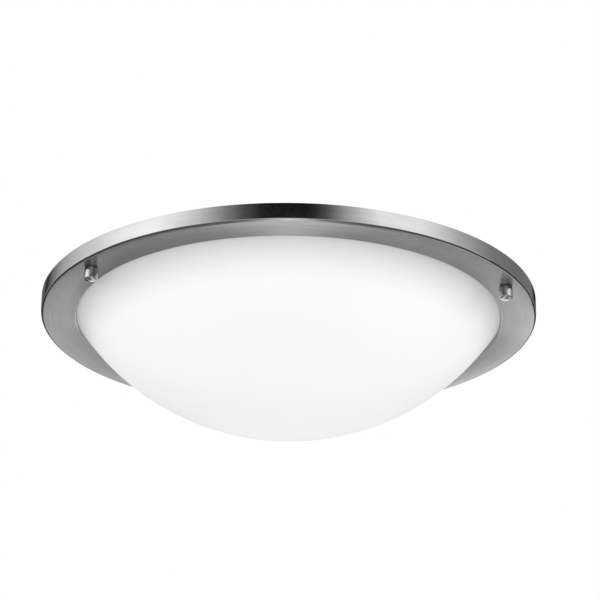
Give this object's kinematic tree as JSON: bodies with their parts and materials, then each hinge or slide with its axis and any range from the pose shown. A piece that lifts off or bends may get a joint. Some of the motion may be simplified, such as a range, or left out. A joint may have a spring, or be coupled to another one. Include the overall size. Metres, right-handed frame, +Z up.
{
  "type": "led ceiling light",
  "caption": "Round flush ceiling light: opal glass bowl in a brushed nickel trim ring, held by knurled thumbscrews to a pan with LED board and driver.",
  "frame": {"origin": "centre of the ceiling screw slots, on the pan's back where it meets the ceiling", "axes": "+Z up into the ceiling along the light's axis; +X to the right and +Y away as seen in the picture"},
  "size_m": [0.3799, 0.38, 0.098],
  "materials": {
    "white_enamel": "satin powder coat",
    "zinc_steel": "bright zinc plate",
    "black_rubber": "matt",
    "white_polyamide": "moulded",
    "clamp_brass": "turned",
    "tinned_copper": "tinned",
    "green_yellow_sleeve": "extruded, striped",
    "brown_sleeve": "extruded",
    "blue_sleeve": "extruded",
    "black_sleeve": "extruded",
    "red_sleeve": "extruded",
    "driver_plastic": "fine spark texture",
    "circuit_board": "paper laminate",
    "transformer_tape": "taped",
    "capacitor_sleeve": "shrink sleeve",
    "choke_sleeve": "shrink sleeve",
    "white_board": "white solder mask",
    "led_phosphor": "silicone",
    "satin_nickel": "circular brushed, satin",
    "opal_glass": "matt etched opal",
    "clear_silicone": "matt",
    "spring_steel": "bright",
    "black_fibre": "matt",
    "nickel_plate": "knurled, satin nickel"
  },
  "bodies": {
    "ceiling_base": {"base_pan": "white_enamel", "threaded_bushes": "zinc_steel", "cable_grommet": "black_rubber", "terminal_block": "white_polyamide", "terminal_clamps": "clamp_brass", "terminal_clamp_screws": "zinc_steel", "terminal_block_screw": "zinc_steel", "earth_tag": "tinned_copper", "earth_screw": "zinc_steel", "earth_lead": "green_yellow_sleeve", "live_lead": "brown_sleeve", "neutral_lead": "blue_sleeve", "lead_saddles": "white_polyamide", "driver_tray": "driver_plastic", "driver_cover": "driver_plastic", "driver_circuit_board": "circuit_board", "driver_transformer": "transformer_tape", "driver_capacitors": "capacitor_sleeve", "driver_choke": "choke_sleeve", "driver_screws": "zinc_steel", "led_board": "white_board", "led_chips": "led_phosphor", "led_board_screws": "zinc_steel", "led_connector": "white_polyamide", "led_negative_lead": "black_sleeve", "led_positive_lead": "red_sleeve"},
    "shade": {"trim_ring": "satin_nickel", "glass_bowl": "opal_glass", "glass_seal": "clear_silicone", "glass_clips": "spring_steel"},
    "washer_1": {"washer_1": "black_fibre"},
    "thumbscrew_1": {"thumbscrew_1": "nickel_plate"},
    "washer_2": {"washer_2": "black_fibre"},
    "thumbscrew_2": {"thumbscrew_2": "nickel_plate"},
    "washer_3": {"washer_3": "black_fibre"},
    "thumbscrew_3": {"thumbscrew_3": "nickel_plate"}
  },
  "joints": [
    {"name": "shade_drop", "type": "slide", "parent": "ceiling_base", "child": "shade", "axis": [0, 0, -1], "range_m": [0, 0.12]},
    {"name": "screw_1_travel", "type": "slide", "parent": "shade", "child": "washer_1", "axis": [0, 0, -1], "range_m": [0, 0.0049]},
    {"name": "screw_1_turn", "type": "hinge", "parent": "washer_1", "child": "thumbscrew_1", "pos_m": [-0.0164, 0.17684, -0.0197], "axis": [0, 0, -1], "range_deg": [0, 2520.5]},
    {"name": "screw_2_travel", "type": "slide", "parent": "shade", "child": "washer_2", "axis": [0, 0, -1], "range_m": [0, 0.0049]},
    {"name": "screw_2_turn", "type": "hinge", "parent": "washer_2", "child": "thumbscrew_2", "pos_m": [-0.14495, -0.10263, -0.0197], "axis": [0, 0, -1], "range_deg": [0, 2520.5]},
    {"name": "screw_3_travel", "type": "slide", "parent": "shade", "child": "washer_3", "axis": [0, 0, -1], "range_m": [0, 0.0049]},
    {"name": "screw_3_turn", "type": "hinge", "parent": "washer_3", "child": "thumbscrew_3", "pos_m": [0.16135, -0.07421, -0.0197], "axis": [0, 0, -1], "range_deg": [0, 2520.5]}
  ],
  "couplings": [
    {"joint": "screw_1_turn", "follows": "screw_1_travel", "rad_per_m": 8976},
    {"joint": "screw_2_turn", "follows": "screw_2_travel", "rad_per_m": 8976},
    {"joint": "screw_3_turn", "follows": "screw_3_travel", "rad_per_m": 8976}
  ]
}
